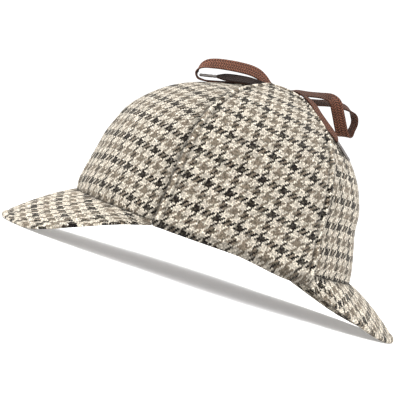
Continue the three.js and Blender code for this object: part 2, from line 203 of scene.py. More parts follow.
# ---------------------------------------------------------------- materials
class Net:
    def __init__(self, name):
        self.mat = bpy.data.materials.new(name)
        self.mat.use_nodes = True
        self.tree = self.mat.node_tree
        self.bsdf = self.tree.nodes["Principled BSDF"]

    def node(self, kind, **inputs):
        n = self.tree.nodes.new(kind)
        for key, value in inputs.items():
            self.put(n.inputs[key.replace("_", " ")], value)
        return n

    def put(self, socket, value):
        if isinstance(value, bpy.types.NodeSocket):
            self.tree.links.new(value, socket)
        else:
            socket.default_value = value

    def math(self, op, a, b=None, c=None):
        n = self.tree.nodes.new("ShaderNodeMath")
        n.operation = op
        for i, v in enumerate((a, b, c)):
            if v is not None:
                self.put(n.inputs[i], v)
        return n.outputs[0]

    def mix(self, f, a, b):
        n = self.tree.nodes.new("ShaderNodeMix")
        n.data_type = "RGBA"
        self.put(n.inputs[0], f)
        self.put(n.inputs[6], a)
        self.put(n.inputs[7], b)
        return n.outputs[2]

    def noise(self, vector, scale, detail=2.0, rough=0.5):
        n = self.tree.nodes.new("ShaderNodeTexNoise")
        self.put(n.inputs["Vector"], vector)
        n.inputs["Scale"].default_value = scale
        n.inputs["Detail"].default_value = detail
        n.inputs["Roughness"].default_value = rough
        return n

    def vec(self, x, y, z=0.0):
        n = self.tree.nodes.new("ShaderNodeCombineXYZ")
        for i, v in enumerate((x, y, z)):
            self.put(n.inputs[i], v)
        return n.outputs[0]

    def uv(self):
        n = self.tree.nodes.new("ShaderNodeUVMap")
        n.uv_map = "cloth"
        s = self.tree.nodes.new("ShaderNodeSeparateXYZ")
        self.tree.links.new(n.outputs[0], s.inputs[0])
        return n.outputs[0], s.outputs[0], s.outputs[1]

    def set(self, key, value):
        self.put(self.bsdf.inputs[key], value)


def tweed_material():
    """Gun-club check in a two-and-two twill, worked out yarn by yarn."""
    k = Net("tweed")
    uv, u, v = k.uv()
    wob = k.noise(uv, 0.9, 2.0)
    slow = k.noise(uv, 0.055, 1.0)
    ws = k.tree.nodes.new("ShaderNodeSeparateColor")
    ss = k.tree.nodes.new("ShaderNodeSeparateColor")
    k.put(ws.inputs[0], wob.outputs["Color"])
    k.put(ss.inputs[0], slow.outputs["Color"])

    def shifted(x, fine, broad, amount, more):
        x = k.math("MULTIPLY_ADD", k.math("SUBTRACT", fine, 0.5), amount, x)
        return k.math("MULTIPLY_ADD", k.math("SUBTRACT", broad, 0.5), more, x)

    u = shifted(u, ws.outputs[0], ss.outputs[0], 0.9, 1.5)
    v = shifted(v, ws.outputs[1], ss.outputs[1], 0.9, 1.5)
    i = k.math("MULTIPLY", u, 16 / WARP)
    j = k.math("MULTIPLY", v, 16 / WEFT)
    fi, fj = k.math("FLOOR", i), k.math("FLOOR", j)

    def band(f):
        return k.math("FLOOR", k.math("DIVIDE", k.math("FLOORED_MODULO", f, 16.0), 4.0))

    bi, bj = band(fi), band(fj)
    cream, taupe = (0.535, 0.482, 0.402, 1), (0.170, 0.137, 0.102, 1)
    dark_w, dark_f = (0.022, 0.0165, 0.0128, 1), (0.0062, 0.0045, 0.0043, 1)

    # heather in the yarns
    yarn = k.tree.nodes.new("ShaderNodeTexWhiteNoise")
    yarn.noise_dimensions = "3D"
    k.put(yarn.inputs["Vector"], k.vec(fi, fj, 0.0))
    fibre = k.noise(uv, 2.2, 3.0, 0.75)
    flock = k.noise(uv, 0.75, 3.0, 0.7)
    kempy = k.tree.nodes.new("ShaderNodeSeparateColor")
    k.put(kempy.inputs[0], yarn.outputs["Color"])

    def yarn_colour(b, dark):
        is_dark = k.math("COMPARE", b, 0.0, 0.4)
        is_taupe = k.math("COMPARE", b, 2.0, 0.4)
        return k.mix(is_dark, k.mix(is_taupe, cream, taupe), dark)

    over = k.math("LESS_THAN", k.math("FLOORED_MODULO", k.math("SUBTRACT", fi, fj), 4.0), 2.0)
    colour = k.mix(over, yarn_colour(bj, dark_f), yarn_colour(bi, dark_w))
    # odd fibres of the other yarns carded in
    colour = k.mix(k.math("MULTIPLY", smooth_step(k, kempy.outputs[1], 0.66, 1.0), 0.60), colour, (0.130, 0.118, 0.086, 1))
    colour = k.mix(k.math("MULTIPLY", smooth_step(k, kempy.outputs[2], 0.82, 1.0), 0.20), colour, (0.56, 0.52, 0.45, 1))

    # rounded floats, highest in the middle of each
    def hump(x):
        return k.math("POWER", k.math("ABSOLUTE", k.math("SINE", k.math("MULTIPLY", x, math.pi))), 0.6)

    def crest(x, f, lag):
        x = k.math("SUBTRACT", k.math("SUBTRACT", x, f), lag)
        return k.math("COSINE", k.math("MULTIPLY", x, math.pi / 2))

    warp_h = k.math("MULTIPLY", hump(i), k.math("MULTIPLY_ADD", crest(j, fi, 0.0), 0.3, 0.7))
    weft_h = k.math("MULTIPLY", hump(j), k.math("MULTIPLY_ADD", crest(i, fj, 3.0), 0.3, 0.7))
    h = k.tree.nodes.new("ShaderNodeMix")
    k.put(h.inputs[0], over)
    k.put(h.inputs[2], weft_h)
    k.put(h.inputs[3], warp_h)

    # each float is mottled, and loose fibres of the light ground lie over it
    painted_light_and_shade = k.tree.nodes.new("ShaderNodeAttribute")
    painted_light_and_shade.attribute_name = "painted_light_and_shade"
    tone = k.math("MULTIPLY_ADD", yarn.outputs["Value"], 0.85, 0.62)
    tone = k.math("MULTIPLY", tone, k.math("MULTIPLY_ADD", fibre.outputs["Fac"], 1.3, 0.35))
    tone = k.math("MULTIPLY", tone, k.math("MULTIPLY_ADD", flock.outputs["Fac"], 2.0, 0.02))
    # each float is painted darker towards its edges, as shade in the hollows between the yarns
    tone = k.math("MULTIPLY", tone, k.math("MULTIPLY_ADD", h.outputs[0], 0.55, 0.66))
    # the per-point attribute of painted light and shade darkens the cloth where shade is painted and lightens it where
    # light is painted
    tone = k.math("MULTIPLY", tone, k.math("SUBTRACT", 1.0, painted_light_and_shade.outputs["Fac"]))
    hsv = k.tree.nodes.new("ShaderNodeHueSaturation")
    k.put(hsv.inputs["Color"], colour)
    k.put(hsv.inputs["Value"], tone)
    hairs = k.noise(uv, 2.6, 4.0, 0.75)
    lie = k.math("MULTIPLY", smooth_step(k, hairs.outputs["Fac"], 0.56, 0.74), 0.12)
    colour = k.mix(lie, hsv.outputs[0], (0.30, 0.265, 0.215, 1))
    k.set("Base Color", colour)

    height = k.math("MULTIPLY_ADD", fibre.outputs["Fac"], 0.5, h.outputs[0])
    height = k.math("MULTIPLY_ADD", hairs.outputs["Fac"], 0.6, height)
    bump = k.tree.nodes.new("ShaderNodeBump")
    bump.inputs["Strength"].default_value = 0.85
    bump.inputs["Distance"].default_value = 0.0006
    k.put(bump.inputs["Height"], height)
    k.set("Normal", bump.outputs[0])
    k.set("Roughness", k.math("MULTIPLY_ADD", fibre.outputs["Fac"], 0.12, 0.84))
    k.set("Specular IOR Level", 0.06)
    k.set("Sheen Weight", 0.24)
    k.set("Sheen Roughness", 0.32)
    k.set("Sheen Tint", (0.96, 0.93, 0.87, 1))
    return k.mat


def smooth_step(k, x, lo, hi):
    n = k.tree.nodes.new("ShaderNodeMapRange")
    n.interpolation_type = "SMOOTHSTEP"
    k.put(n.inputs["Value"], x)
    n.inputs["From Min"].default_value = lo
    n.inputs["From Max"].default_value = hi
    return n.outputs[0]


def inside_material():
    """Plain brown cotton twill on the faces that don't show."""
    k = Net("plain_inside")
    uv, u, v = k.uv()
    rib = k.math("SINE", k.math("MULTIPLY", k.math("ADD", u, v), 2 * math.pi / 0.9))
    mott = k.noise(uv, 1.4, 3.0)
    tone = k.math("MULTIPLY_ADD", mott.outputs["Fac"], 0.5, 0.75)
    hsv = k.tree.nodes.new("ShaderNodeHueSaturation")
    # the plain twill's rib crests are painted lighter and its hollows darker, as shade
    k.put(hsv.inputs["Color"], k.mix(k.math("MULTIPLY_ADD", rib, 0.5, 0.5), (0.16, 0.115, 0.08, 1), (0.23, 0.17, 0.125, 1)))
    k.put(hsv.inputs["Value"], tone)
    k.set("Base Color", hsv.outputs[0])
    bump = k.tree.nodes.new("ShaderNodeBump")
    bump.inputs["Strength"].default_value = 0.5
    bump.inputs["Distance"].default_value = 0.0002
    k.put(bump.inputs["Height"], rib)
    k.set("Normal", bump.outputs[0])
    k.set("Roughness", 0.8)
    k.set("Sheen Weight", 0.1)
    return k.mat


def lace_material():
    """Flat braid: rows of small slanted strands that change direction."""
    k = Net("lace")
    uv, u, v = k.uv()
    wob = k.noise(uv, 1.1, 2.0)
    v = k.math("MULTIPLY_ADD", k.math("SUBTRACT", wob.outputs["Fac"], 0.5), 0.35, v)
    col = LACE_W / 4  # width of one column of strands
    pitch = 1.9  # along the braid
    ci = k.math("DIVIDE", u, col)
    parity = k.math("FLOORED_MODULO", k.math("FLOOR", ci), 2.0)
    across = k.math("SUBTRACT", k.math("FRACT", ci), 0.5)
    slant = k.math("MULTIPLY", across, k.math("MULTIPLY_ADD", parity, 2.0, -1.0))
    along = k.math("ADD", k.math("DIVIDE", v, pitch), k.math("MULTIPLY", slant, 0.95))
    strand = k.math("ABSOLUTE", k.math("SINE", k.math("MULTIPLY", along, math.pi)))
    strand = k.math("POWER", strand, 1.2)
    ridge = k.math("POWER", k.math("ABSOLUTE", k.math("COSINE", k.math("MULTIPLY", across, math.pi))), 0.3)
    height = k.math("MULTIPLY", strand, ridge)
    fibre = k.noise(uv, 6.0, 3.0, 0.7)
    yarn = k.tree.nodes.new("ShaderNodeTexWhiteNoise")
    yarn.noise_dimensions = "3D"
    k.put(yarn.inputs["Vector"], k.vec(k.math("FLOOR", ci), k.math("FLOOR", along), 0.0))
    # one face of the left lace is painted dark, as shade
    painted_shade_face = k.math("GREATER_THAN", u, 14.0)
    # the hollows between the strands are painted darker than the raised strands, as shade
    shaded_hollow = k.mix(painted_shade_face, (0.016, 0.0050, 0.0034, 1), (0.0035, 0.0018, 0.0015, 1))
    lit = k.mix(painted_shade_face, (0.295, 0.112, 0.064, 1), (0.023, 0.0100, 0.0075, 1))
    colour = k.mix(height, shaded_hollow, lit)
    tone = k.math("MULTIPLY_ADD", yarn.outputs["Value"], 0.3, 0.82)
    tone = k.math("MULTIPLY", tone, k.math("MULTIPLY_ADD", fibre.outputs["Fac"], 0.5, 0.75))
    painted_light_and_shade = k.tree.nodes.new("ShaderNodeAttribute")
    painted_light_and_shade.attribute_name = "painted_light_and_shade"
    tone = k.math("MULTIPLY", tone, k.math("SUBTRACT", 1.0, painted_light_and_shade.outputs["Fac"]))
    hsv = k.tree.nodes.new("ShaderNodeHueSaturation")
    k.put(hsv.inputs["Color"], colour)
    k.put(hsv.inputs["Value"], tone)
    k.set("Base Color", hsv.outputs[0])
    bump = k.tree.nodes.new("ShaderNodeBump")
    bump.inputs["Strength"].default_value = 1.0
    bump.inputs["Distance"].default_value = 0.0009
    k.put(bump.inputs["Height"], k.math("MULTIPLY_ADD", fibre.outputs["Fac"], 0.3, height))
    k.set("Normal", bump.outputs[0])
    k.set("Roughness", 0.62)
    k.set("Specular IOR Level", 0.2)
    k.set("Sheen Weight", 0.05)
    k.set("Sheen Tint", (0.9, 0.6, 0.45, 1))
    return k.mat


def metal_material():
    k = Net("aglet_metal")
    uv, u, v = k.uv()
    scuff = k.noise(k.vec(k.math("MULTIPLY", u, 0.6), k.math("MULTIPLY", v, 5.0), 0.0), 2.0, 4.0, 0.7)
    colour = k.mix(scuff.outputs["Fac"], (0.10, 0.085, 0.078, 1), (0.34, 0.32, 0.31, 1))
    k.set("Base Color", colour)
    k.set("Metallic", 1.0)
    k.set("Roughness", k.math("MULTIPLY_ADD", scuff.outputs["Fac"], 0.25, 0.28))
    bump = k.tree.nodes.new("ShaderNodeBump")
    bump.inputs["Strength"].default_value = 0.25
    bump.inputs["Distance"].default_value = 0.0001
    k.put(bump.inputs["Height"], scuff.outputs["Fac"])
    k.set("Normal", bump.outputs[0])
    return k.mat


TWEED, INSIDE, LACE, METAL = tweed_material(), inside_material(), lace_material(), metal_material()

# ---------------------------------------------------------------- laces
# x, y, height over the base seam, direction of the width, share of the width
FRONT_LOOP = [
    [3.6, 1.2, 120.2, 0, 0.62, 0.78, 0.7], [-1.0, 0.4, 122.6, 0, 0.56, 0.83, 0.95],
    [-7.0, -0.4, 125.0, 0, 0.52, 0.85, 1], [-14.0, -0.8, 125.9, 0, 0.52, 0.85, 1],
    [-22.0, -0.8, 125.4, 0, 0.52, 0.85, 1], [-31.0, -0.8, 124.2, 0, 0.54, 0.84, 1],
    [-40.0, -0.6, 122.4, 0, 0.60, 0.80, 1], [-46.6, -0.4, 119.9, 0.1, 0.70, 0.70, 1],
    [-50.6, -0.2, 116.0, 0.25, 0.86, 0.42, 1], [-51.8, 0.2, 111.6, 0.33, 0.94, 0.0, 1],
    [-49.4, 0.8, 108.4, 0.15, 0.98, -0.05, 1], [-44.0, 1.0, 108.0, 0, 1, 0, 1],
    [-37.0, 1.0, 109.6, 0, 1, 0, 1], [-28.0, 1.2, 112.0, 0, 1, 0, 1],
    [-17.0, 1.4, 114.9, 0, 1, 0, 1], [-6.0, 1.6, 116.6, 0, 1, 0, 0.9],
    [3.4, 1.6, 117.1, 0, 1, 0, 0.6],
]
FRONT_TAIL = [
    [3.6, -3.4, 118.2, 0, -0.30, -0.95, 0.55], [-2.6, -5.0, 118.4, 0, -0.30, -0.95, 0.58],
    [-7.5, -6.2, 118.3, 0, -0.50, -0.86, 0.64], [-15.0, -5.8, 118.0, 0, -0.80, -0.60, 0.95],
    [-24.0, -4.4, 116.5, 0, -0.80, -0.60, 1], [-31.0, -3.2, 115.0, 0, -0.80, -0.60, 0.9],
    [-37.2, -2.3, 113.5, 0, -0.80, -0.60, 0.26],
]
REAR_LOOP = [
    [19.6, 0.6, 119.2, 0, 0.93, 0.37, 0.8], [25.8, 0.8, 121.8, 0, 0.93, 0.37, 0.95],
    [34.0, 0.2, 123.2, 0, 0.93, 0.37, 1], [43.0, -1.2, 125.2, 0.05, 0.90, 0.44, 1],
    [49.6, -3.4, 125.9, 0.35, 0.60, 0.70, 1], [53.8, -6.0, 123.6, 0.82, 0.10, 0.56, 1],
    [56.4, -7.4, 119.2, 0.90, -0.16, 0.40, 1], [59.4, -7.8, 114.0, 0.90, -0.19, 0.39, 1],
    [62.5, -7.6, 108.8, 0.90, -0.19, 0.39, 1], [65.6, -6.4, 104.4, 0.90, -0.20, 0.38, 1],
    [69.0, -3.4, 102.2, 0.80, -0.55, 0.22, 1], [72.4, 0.0, 103.6, 0.56, -0.80, -0.1, 1],
    [74.4, 1.8, 108.2, 0.35, -0.93, 0, 1], [75.0, 2.2, 113.6, 0.35, -0.93, 0, 1],
    [73.0, 2.2, 118.4, 0.30, -0.93, 0.15, 1], [67.6, 2.0, 122.0, 0.12, -0.92, -0.3, 1],
    [60.0, 1.6, 123.0, 0, -0.88, -0.47, 1], [51.0, 1.2, 121.6, 0, -0.88, -0.47, 1],
    [42.0, 1.0, 119.2, 0, -0.88, -0.47, 1], [33.0, 0.8, 117.2, 0, -0.90, -0.43, 1],
    [26.0, 0.6, 116.4, 0, -0.94, -0.33, 1], [19.8, 0.4, 116.3, 0, -0.98, -0.2, 0.9],
]
REAR_TAIL = [
    [17.2, -3.6, 120.2, 0.3, 0.95, 0.1, 0.3], [22.6, -5.8, 121.6, 0.33, 0.95, 0.14, 0.42],
    [27.8, -7.6, 120.9, 0.38, 0.94, 0.2, 0.55], [32.8, -9.2, 118.9, 0.46, 0.93, 0.25, 0.8],
    [38, -10.8, 115.8, 0.53, 0.92, 0.3, 1], [43.2, -13, 111.2, 0.59, 0.9, 0.29, 1],
    [48.4, -16.2, 106.8, 0.66, 0.86, 0.26, 1], [52.6, -20.6, 103, 0.72, 0.82, 0.2, 1],
    [55.7, -26, 99.6, 0.73, 0.78, 0.09, 0.9], [57.6, -31.2, 95.9, 0.67, 0.76, -0.06, 0.28],
]
LEFT_LEAD = [
    [8.4, -11.6, 115.8, 1, 0, 0, 0.7], [8.8, -8.2, 116.4, 1, 0, 0, 0.7],
    [9.2, -5.0, 117.4, 1, 0, 0, 0.7],
]
RIGHT_LEAD = [[x, -y, h, a, -b, c, w] for x, y, h, a, b, c, w in LEFT_LEAD]
# the way through the knot, where the braid is squeezed small
LEFT_IN = [[9.0, -2.0, 118.9, 0.7, 0.5, 0.5, 0.36], [6.8, 0.4, 119.3, 0.2, 0.6, 0.78, 0.42]]
LEFT_TURN = [[7.0, 1.2, 117.2, 0, 1, 0, 0.4], [9.4, -0.6, 117.0, 0, 0.5, -0.87, 0.34], [7.4, -2.4, 117.8, 0, -0.30, -0.95, 0.4]]
RIGHT_IN = [[12.0, 2.0, 118.9, 0.6, -0.6, 0.5, 0.36], [15.6, 0.7, 119.2, 0, 0.93, 0.37, 0.42]]
RIGHT_TURN = [[16.0, 0.3, 116.9, 0, -0.98, -0.2, 0.42], [13.0, -0.6, 116.8, 0.2, 0.9, 0, 0.34], [14.0, -2.2, 118.6, 0.30, 0.95, 0.10, 0.3]]


def through(rows, per):
    """Dense rows of a lace, and the distance along it."""
    rows = np.asarray(rows, float)
    return sample(rows, np.linspace(0, len(rows) - 1, (len(rows) - 1) * per + 1))


def braid(name, rows, painted_shade_side, per=12):
    """A flat braid with rounded edges, a closed tube of flat section, with one face painted dark as shade."""
    d = through(rows, per)
    c = d[:, :3] + [0, 0, SEAM_Z]
    tan = unit(np.gradient(c, axis=0))
    w = d[:, 3:6]
    for _ in range(3):  # the width turns evenly
        w[1:-1] = (w[:-2] + 2 * w[1:-1] + w[2:]) / 4
    w = unit(w - (w * tan).sum(1, keepdims=True) * tan)
    n = np.cross(tan, w)
    along = np.concatenate([[0], np.cumsum(np.linalg.norm(np.diff(c, axis=0), axis=1))])
    half = LACE_W / 2 * d[:, 6]
    thick = LACE_T / 2 * np.clip(1.15 - 0.15 * d[:, 6], 1, 1.12)
    ring, flat = [], []
    cols = 12
    cross = np.linspace(-1, 1, cols + 1)
    for s, sgn in [(x, 1) for x in cross] + [(x, -1) for x in cross[::-1][1:-1]]:
        edge = math.sqrt(max(0.0, 1 - max(0.0, (abs(s) - 0.86) / 0.14) ** 2))
        # four shallow cords run along the braid
        cord = 1 - 0.06 * math.cos(s * math.pi * 4)
        ring.append(c + w * (half * s)[:, None] + n * (thick * edge * cord * sgn)[:, None])
        # the face on the painted-shade side gets shifted cloth coordinates, so the material paints it dark as shade
        face = 19.0 if sgn == painted_shade_side and abs(s) < 0.95 else 0.0
        flat.append(np.stack([(s + 1) * LACE_W / 2 * np.ones(len(c)) + face, along], -1))
    ring, flat = np.stack(ring, 1), np.stack(flat, 1)
    nr, nc = ring.shape[:2]
    pts, uvs = ring.reshape(-1, 3), flat.reshape(-1, 2)
    idx = np.arange(nr * nc).reshape(nr, nc)
    nxt = np.roll(idx, -1, 1)
    faces = np.stack([idx[:-1], nxt[:-1], nxt[1:], idx[1:]], -1).reshape(-1, 4).tolist()
    faces += [idx[0][::-1].tolist(), idx[-1].tolist()]
    a, b, e = pts[[f[0] for f in faces]], pts[[f[1] for f in faces]], pts[[f[2] for f in faces]]
    if np.einsum("ij,ij->i", a, np.cross(b, e)).sum() < 0:
        faces = [f[::-1] for f in faces]
    # painted shade: the level runs and the far curve of the rear loop are painted darker, and the rest of the right
    # lace a fifth darker
    level = smooth((np.abs(tan[:, 0]) - 0.7) / 0.25) * (c[:, 0] > 17) * (painted_shade_side == 0)
    level = np.maximum(level * (tan[:, 2] > -0.45), 0.75 * smooth((c[:, 0] - 68) / 3))
    painted_light_and_shade = np.repeat(0.5 * level + 0.2 * (1 - level) * (painted_shade_side == 0), nc)
    obj = cloth_object(name, pts, faces, uvs, [LACE], painted_light_and_shade=painted_light_and_shade)
    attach(obj, "root")
    return obj, c * MM, float(along[-1] * MM)


def aglet(name, p, q, node):
    """Rolled metal end: a slightly tapered tube with a crimp and a rounded tip."""
    p, q = np.array(p) + [0, 0, SEAM_Z], np.array(q) + [0, 0, SEAM_Z]
    ax = unit(q - p)
    a = unit(np.cross(ax, [0.2, 1, 0.1]))
    b = np.cross(ax, a)
    long = np.linalg.norm(q - p)
    rows = [(0, 0.62), (0.02, 0.92), (0.05, 1.0), (0.16, 1.0), (0.19, 0.88), (0.23, 0.88), (0.26, 1.0),
            (0.5, 0.98), (0.74, 0.96), (0.77, 0.85), (0.81, 0.85), (0.84, 0.95), (0.93, 0.93),
            (0.965, 0.86), (0.985, 0.68), (1.0, 0.35)]
    n = 28
    pts, uvs = [], []
    for f, r in rows:
        for s in range(n):
            t = 2 * math.pi * s / n
            lap = 1 + 0.05 * math.exp(-((s - 4) / 1.4) ** 2)  # the rolled edge
            pts.append(p + ax * long * f + (a * math.cos(t) + b * math.sin(t)) * AGLET_R * r * lap)
            uvs.append((s / n * 7.2, f * long))
    faces = []
    for i in range(len(rows) - 1):
        for s in range(n):
            t = (s + 1) % n
            faces.append([i * n + s, i * n + t, (i + 1) * n + t, (i + 1) * n + s])
    faces += [list(range(n))[::-1], [(len(rows) - 1) * n + s for s in range(n)]]
    obj = cloth_object(name, np.array(pts), faces, np.array(uvs), [METAL])
    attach(obj, "root")
    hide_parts(node)
    return obj


left, left_line, left_long = braid("lace_left", LEFT_LEAD + LEFT_IN + FRONT_LOOP + LEFT_TURN + FRONT_TAIL, 1)
right, right_line, right_long = braid("lace_right", RIGHT_LEAD + RIGHT_IN + REAR_LOOP + RIGHT_TURN + REAR_TAIL, 0)
tip_front = aglet("aglet_end_front", [-37.2, -2.3, 113.5], [-49.6, -1.2, 110.6], "aglet_front")
tip_rear = aglet("aglet_end_rear", [58.0, -31.9, 95.8], [70.8, -33.0, 85.6], "aglet_rear")
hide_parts("lace_lead_left", "lace_loop_front", "lace_tail_front")
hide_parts("lace_lead_right", "lace_loop_rear", "lace_tail_rear")


def knot():
    """A turn of braid drawn tight round the bundle."""
    nx, na = 30, 56
    xs = np.linspace(-1, 1, nx)[:, None]
    an = np.linspace(0, 2 * math.pi, na, endpoint=False)[None, :]
    # swells in the middle, is pinched where the loops come out
    body = (1 - np.abs(xs) ** 2.6) ** 0.5
    lean = 1.3 * np.sin(an + 0.4)
    crease = 1 + 0.05 * np.cos(3 * an + 2.5 * xs) + 0.035 * np.cos(7 * an - 3 * xs)
    ry, rz = 4.75 * crease, 3.15 * crease
    x = 11.5 + xs * 6.9 + lean * (1 - xs**2) * 0.8 * np.ones_like(xs)
    y = np.sin(an) * ry * (0.12 + 0.88 * body)
    z = 118.3 + SEAM_Z + np.cos(an) * rz * (0.12 + 0.88 * body)
    pts = np.stack([x + 0 * y, y + 0 * x, z + 0 * x], -1)
    uv = np.stack([(xs + 1) * LACE_W / 2 + 0 * an, an * 4.1 + 0 * xs], -1)
    idx = np.arange(nx * na).reshape(nx, na)
    nxt = np.roll(idx, -1, 1)
    faces = np.stack([idx[:-1], idx[1:], nxt[1:], nxt[:-1]], -1).reshape(-1, 4).tolist()
    faces += [idx[0].tolist(), idx[-1][::-1].tolist()]
    p = pts.reshape(-1, 3)
    a, b, e = p[[f[0] for f in faces]], p[[f[1] for f in faces]], p[[f[2] for f in faces]]
    c0 = p.mean(0)
    if np.einsum("ij,ij->i", a - c0, np.cross(b - c0, e - c0)).sum() < 0:
        faces = [f[::-1] for f in faces]
    obj = cloth_object("knot", p, faces, uv.reshape(-1, 2), [LACE])
    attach(obj, "root")
    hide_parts("lace_knot")


knot()

# ---------------------------------------------------------------- crown
# how far round the flap's edges are at each height, and how far it stands off
FLAP = [
    [0.0, 56.0, 123.7, 0.7, 0.8, 0.9], [2.8, 56.3, 123.9, 0.7, 0.8, 1.0],
    [5.0, 56.0, 124.8, 0.7, 0.8, 1.2], [6.5, 55.6, 126.2, 0.7, 0.8, 1.3],
    [8.0, 55.0, 128.6, 0.7, 0.8, 1.4], [9.0, 55.0, 131.0, 0.7, 0.8, 1.3],
    [10.0, 55.0, 134.4, 0.7, 0.8, 1.1], [11.0, 55.0, 139.0, 0.7, 0.9, 1.0],
    [12.0, 55.5, 146.0, 0.8, 1.3, 1.9], [13.0, 57.5, 151.0, 1.0, 2.4, 3.9],
    [14.0, 62.0, 150.0, 1.8, 3.7, 4.7], [14.6, 70.0, 142.0, 2.6, 4.0, 4.5],
    [15.25, 84.0, 116.0, 2.9, 3.2, 3.2],
]
PROFILE_FRONT = [
    [1.012, 0], [1.02, 8], [1.006, 18], [0.989, 28], [0.968, 40], [0.948, 50], [0.905, 62],
    [0.868, 71], [0.80, 80.5], [0.70, 90.5], [0.60, 98], [0.50, 103.4], [0.40, 107.4],
    [0.30, 110.4], [0.20, 112.8], [0.10, 114.4], [0.0, 115.0],
]
PROFILE_REAR = [
    [1.008, 0], [0.996, 8], [0.976, 18], [0.950, 28], [0.926, 38], [0.913, 51], [0.878, 62],
    [0.835, 71.5], [0.775, 81], [0.69, 90.6], [0.60, 98], [0.50, 103.4], [0.40, 107.4],
    [0.30, 110.4], [0.20, 112.8], [0.10, 114.4], [0.0, 115.0],
]


def crown_ratio(t, k):
    w = (1 + np.cos(np.radians(t))) / 2
    return np.maximum(sample(PROFILE_REAR, k)[..., 0] * (1 - w) + sample(PROFILE_FRONT, k)[..., 0] * w, 0)


def crown_point(t, k):
    a = np.radians(t)
    w = (1 + np.cos(a)) / 2
    f, r = sample(PROFILE_FRONT, k), sample(PROFILE_REAR, k)
    ratio = np.maximum(r[..., 0] * (1 - w) + f[..., 0] * w, 0)
    h = r[..., 1] * (1 - w) + f[..., 1] * w
    up = (0.9 + 1.6 * np.cos(a)) * (1 - smooth(h / 40))
    return np.stack([-np.cos(a) * CROWN_A * ratio, -np.sin(a) * CROWN_B * ratio, SEAM_Z + h + up], -1)


def crown_normal(t, k):
    kk = np.minimum(k, 15.6)
    du = crown_point(t, kk + 0.02) - crown_point(t, kk - 0.02)
    dt = crown_point(t + 0.5, kk) - crown_point(t - 0.5, kk)
    return unit(np.cross(dt, du))


T_FINE = np.linspace(0, 360, 1441)
ARC = np.concatenate([[0], np.cumsum(np.hypot(
    CROWN_A * np.diff(np.cos(np.radians(T_FINE))), CROWN_B * np.diff(np.sin(np.radians(T_FINE)))))])


def arc_from(t, t0):
    """Distance round the base oval from angle t0 to t."""
    return np.interp(t, T_FINE, ARC) - np.interp(t0, T_FINE, ARC)


def turned(a, s, degrees):
    c, q = math.cos(math.radians(degrees)), math.sin(math.radians(degrees))
    return a * c - s * q, s * c + a * q


def climbed(points, axis=0):
    step = np.linalg.norm(np.diff(points, axis=axis), axis=-1)
    zero = np.zeros_like(np.take(step, [0], axis))
    return np.concatenate([zero, np.cumsum(step, axis=axis)], axis=axis)


def panel(name, t0, t1, mid, arch, tilt, centre, ease, far, mirror):
    """One cut panel of the crown. mirror makes the same cloth on the right side."""
    nk, nt = 120, 46
    k = np.concatenate([np.linspace(0, 0.5, 9)[:-1], np.linspace(0.5, 15.72, nk)])[:, None]
    f = eased(nt, 0.65)[None, :]
    t = t0 + (t1 - t0) * f
    t, k = np.broadcast_arrays(t, k)
    base = crown_point(t, k)
    nrm = crown_normal(t, k)
    span = np.radians(t1 - t0) * np.hypot(base[..., 0], base[..., 1])
    d_side = np.minimum(f, 1 - f) * span
    climb = climbed(base)
    d_low = climb
    fade = edge_fade(d_side, 1.5) * edge_fade(d_low, 0.5)
    # the cloth sinks a little towards each seam and ripples faintly
    sink = -0.45 * (1 - smooth(d_side / 6.0)) * smooth(span / 20)
    ripple = 0.18 * wave_noise(arc_from(t, 0), climb, 11 + int(t0), 34) * smooth(d_side / 8) * smooth(d_low / 12)
    half = WALL / 2
    mid_s = base - nrm * half + nrm * (sink + ripple)[..., None]
    outer = mid_s + nrm * (half * fade)[..., None]
    inner = mid_s - nrm * (half * fade)[..., None]
    # the apex: every panel ends in one small closed edge
    ratio = crown_ratio(t, k)
    a = arc_from(t, mid) * ratio
    s = climb + arch * ((t - mid) / 30) ** 2 * np.clip(ratio, 0.35, 1)
    u, v = turned(a, s, tilt)
    uv = np.stack(laid(u, v, centre, ease, far), -1)
    if mirror:
        for g in (outer, inner):
            g[..., 1] *= -1
        uv[..., 0] *= -1
    for g in (outer, inner):
        g[..., 2] -= 0.3 * (1 - smooth(d_low / 4))
    # painted shade: the cloth is darker along its side seams and along the base seam
    painted_light_and_shade = 0.45 * np.exp(-((d_side / 1.1) ** 2)) * smooth(span / 12)
    painted_light_and_shade = np.maximum(painted_light_and_shade, 0.5 * np.exp(-((d_low / 1.3) ** 2)))
    # painted shadow: the cloth is darker beside the edges of the ear flap, as shadow cast by the flap
    for col, way in ((1, -1), (2, 1)):
        off = np.radians(t - table(FLAP, k, col)) * way * np.hypot(base[..., 0], base[..., 1])
        painted_light_and_shade = np.maximum(painted_light_and_shade, (0.72 if way < 0 else 0.45) * np.exp(-((off / 2.7) ** 2)) * (k < 14.2))
    obj = slab(name + "_cloth", outer, inner, uv, uv, [TWEED, INSIDE], painted_light_and_shade)
    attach(obj, "root")
    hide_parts(name)
    return obj, cut_size(base - nrm * half)


PANELS = {
    "front": (0, 60, 26, 6.0, 0.0, (14.7, 47.1),
              [10.64, 17.59, 0.93, 0.81, -0.07, 16.17, 0.06, -0.19, -0.47, 0.72], 2.2),
    "side": (60, 120, 90, 5.0, 0.0, (0.0, 45.0), [9.8, 16.7, 0, 0, 0, 0, 0, 0, 0, 0], 2.0),
    "rear": (120, 180, 156, 2.0, -3.0, (-22.7, 40.6),
             [17.46, 7.88, 0.26, 2.71, 1.44, -0.58, -0.62, -0.03, -6.53, 0.08], 0.75),
}
for part, spec in PANELS.items():
    for hand in ("left", "right"):
        panel(f"crown_{part}_{hand}", *spec, hand == "right")


